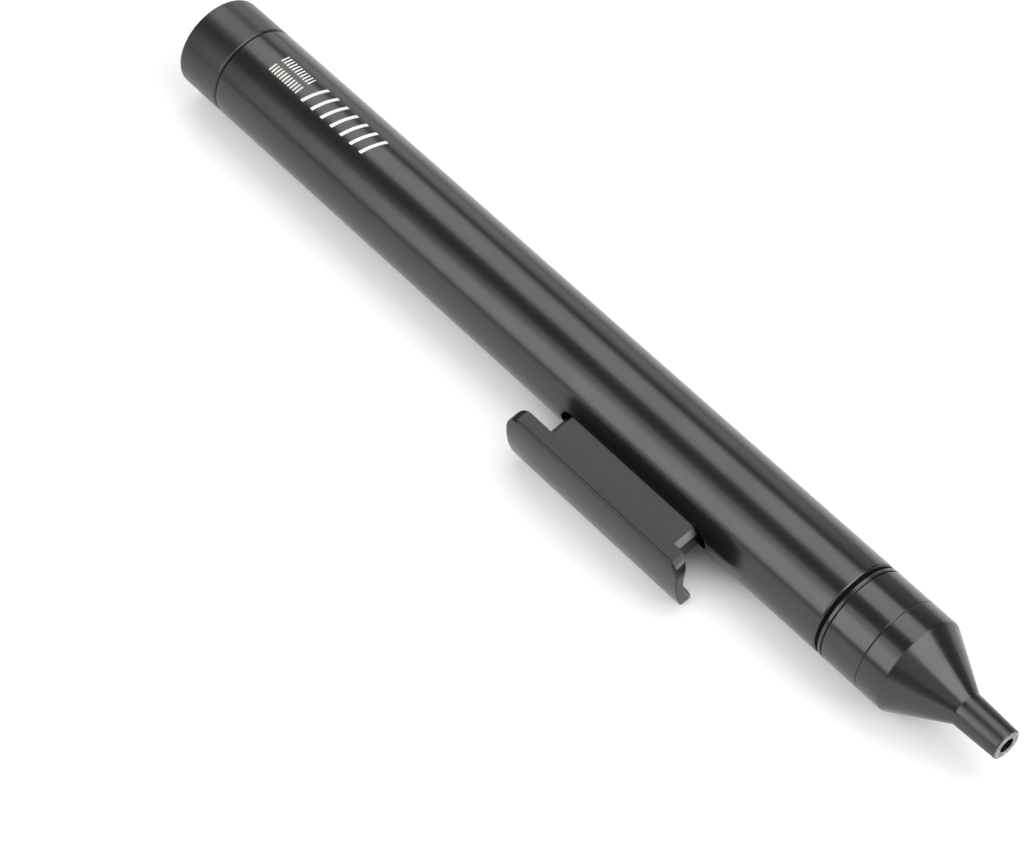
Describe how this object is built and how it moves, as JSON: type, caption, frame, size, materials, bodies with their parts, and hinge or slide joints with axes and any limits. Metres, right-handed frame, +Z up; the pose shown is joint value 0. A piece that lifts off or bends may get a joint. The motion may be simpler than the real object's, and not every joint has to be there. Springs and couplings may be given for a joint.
{
  "type": "vacuum pick-up pen",
  "caption": "Slim black handling pen with a side button that squeezes an inner bulb, and a tapered hollow nose that takes suction heads for small parts.",
  "frame": {"origin": "middle of the pen's box on the surface that it lies on", "axes": "+X along the pen to the suction tip, -Y to the button's side, +Z up from the surface"},
  "size_m": [0.1524, 0.0212, 0.014],
  "materials": {
    "anodised_barrel": "black anodised, satin, drawn along the tube",
    "anodised_cap": "black anodised, matt",
    "anodised_nose": "black anodised, finely turned, half gloss",
    "black_rubber": "smooth moulded",
    "bulb_rubber": "soft, matt",
    "button_plastic": "moulded with a fine spark texture",
    "steel": "plain, cold rolled",
    "brass": "turned"
  },
  "bodies": {
    "pen": {"barrel": "anodised_barrel", "end_cap": "anodised_cap", "collar": "anodised_nose", "nose_cone": "anodised_nose", "o_ring": "black_rubber", "nose_gasket": "black_rubber", "stem_gasket": "black_rubber", "air_stem": "brass", "squeeze_bulb": "bulb_rubber", "bulb_clamp": "steel"},
    "trigger": {"button": "button_plastic", "pressure_plate": "steel", "plate_pins": "steel"}
  },
  "joints": [
    {"name": "button_press", "type": "slide", "parent": "pen", "child": "trigger", "axis": [0, 0.989, 0.1476], "range_m": [0, 0.003], "stiffness_N_per_m": 600, "deforming": ["squeeze_bulb"]}
  ]
}
